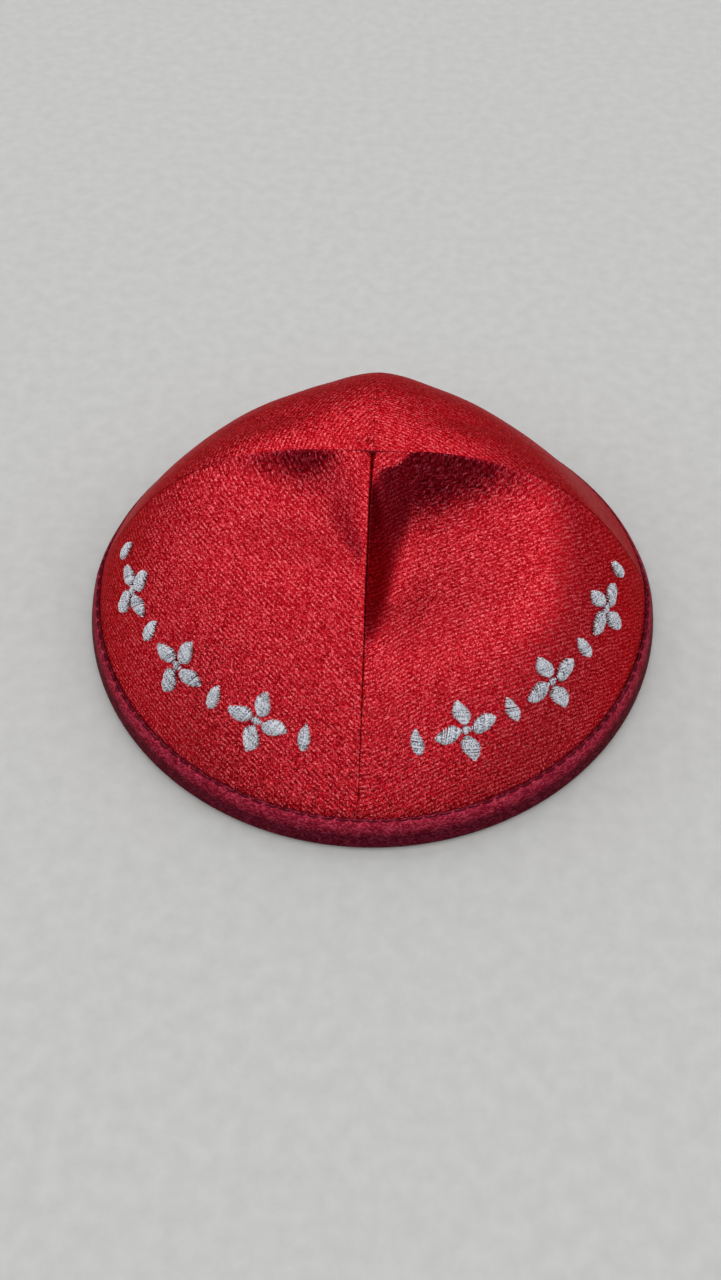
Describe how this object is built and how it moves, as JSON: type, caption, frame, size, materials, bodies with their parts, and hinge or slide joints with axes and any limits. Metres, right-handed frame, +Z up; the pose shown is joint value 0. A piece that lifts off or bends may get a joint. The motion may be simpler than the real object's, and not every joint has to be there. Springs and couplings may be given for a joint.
{
  "type": "kippah skullcap",
  "caption": "Soft domed skullcap of satin panels sewn along crossing seams, with a folded ridge from side to side, dents in front of it and a folded tape binding round the rim.",
  "frame": {"origin": "centre of the rim's plan, on the surface that the cap stands on", "axes": "+Z up through the crown, +X to the right and -Y to the front, where the cap is seen from"},
  "size_m": [0.16, 0.152, 0.06],
  "materials": {
    "satin": "red satin weave with a soft gloss",
    "binding": "wine red satin tape, folded and topstitched",
    "silver_thread": "silver grey embroidery thread with a soft gloss",
    "stitch_thread": "dark red sewing thread"
  },
  "bodies": {
    "root": {"panel_front_left": "satin", "panel_front_right": "satin", "panel_back_left": "satin", "panel_back_right": "satin", "rim_binding": "binding"}
  },
  "joints": []
}
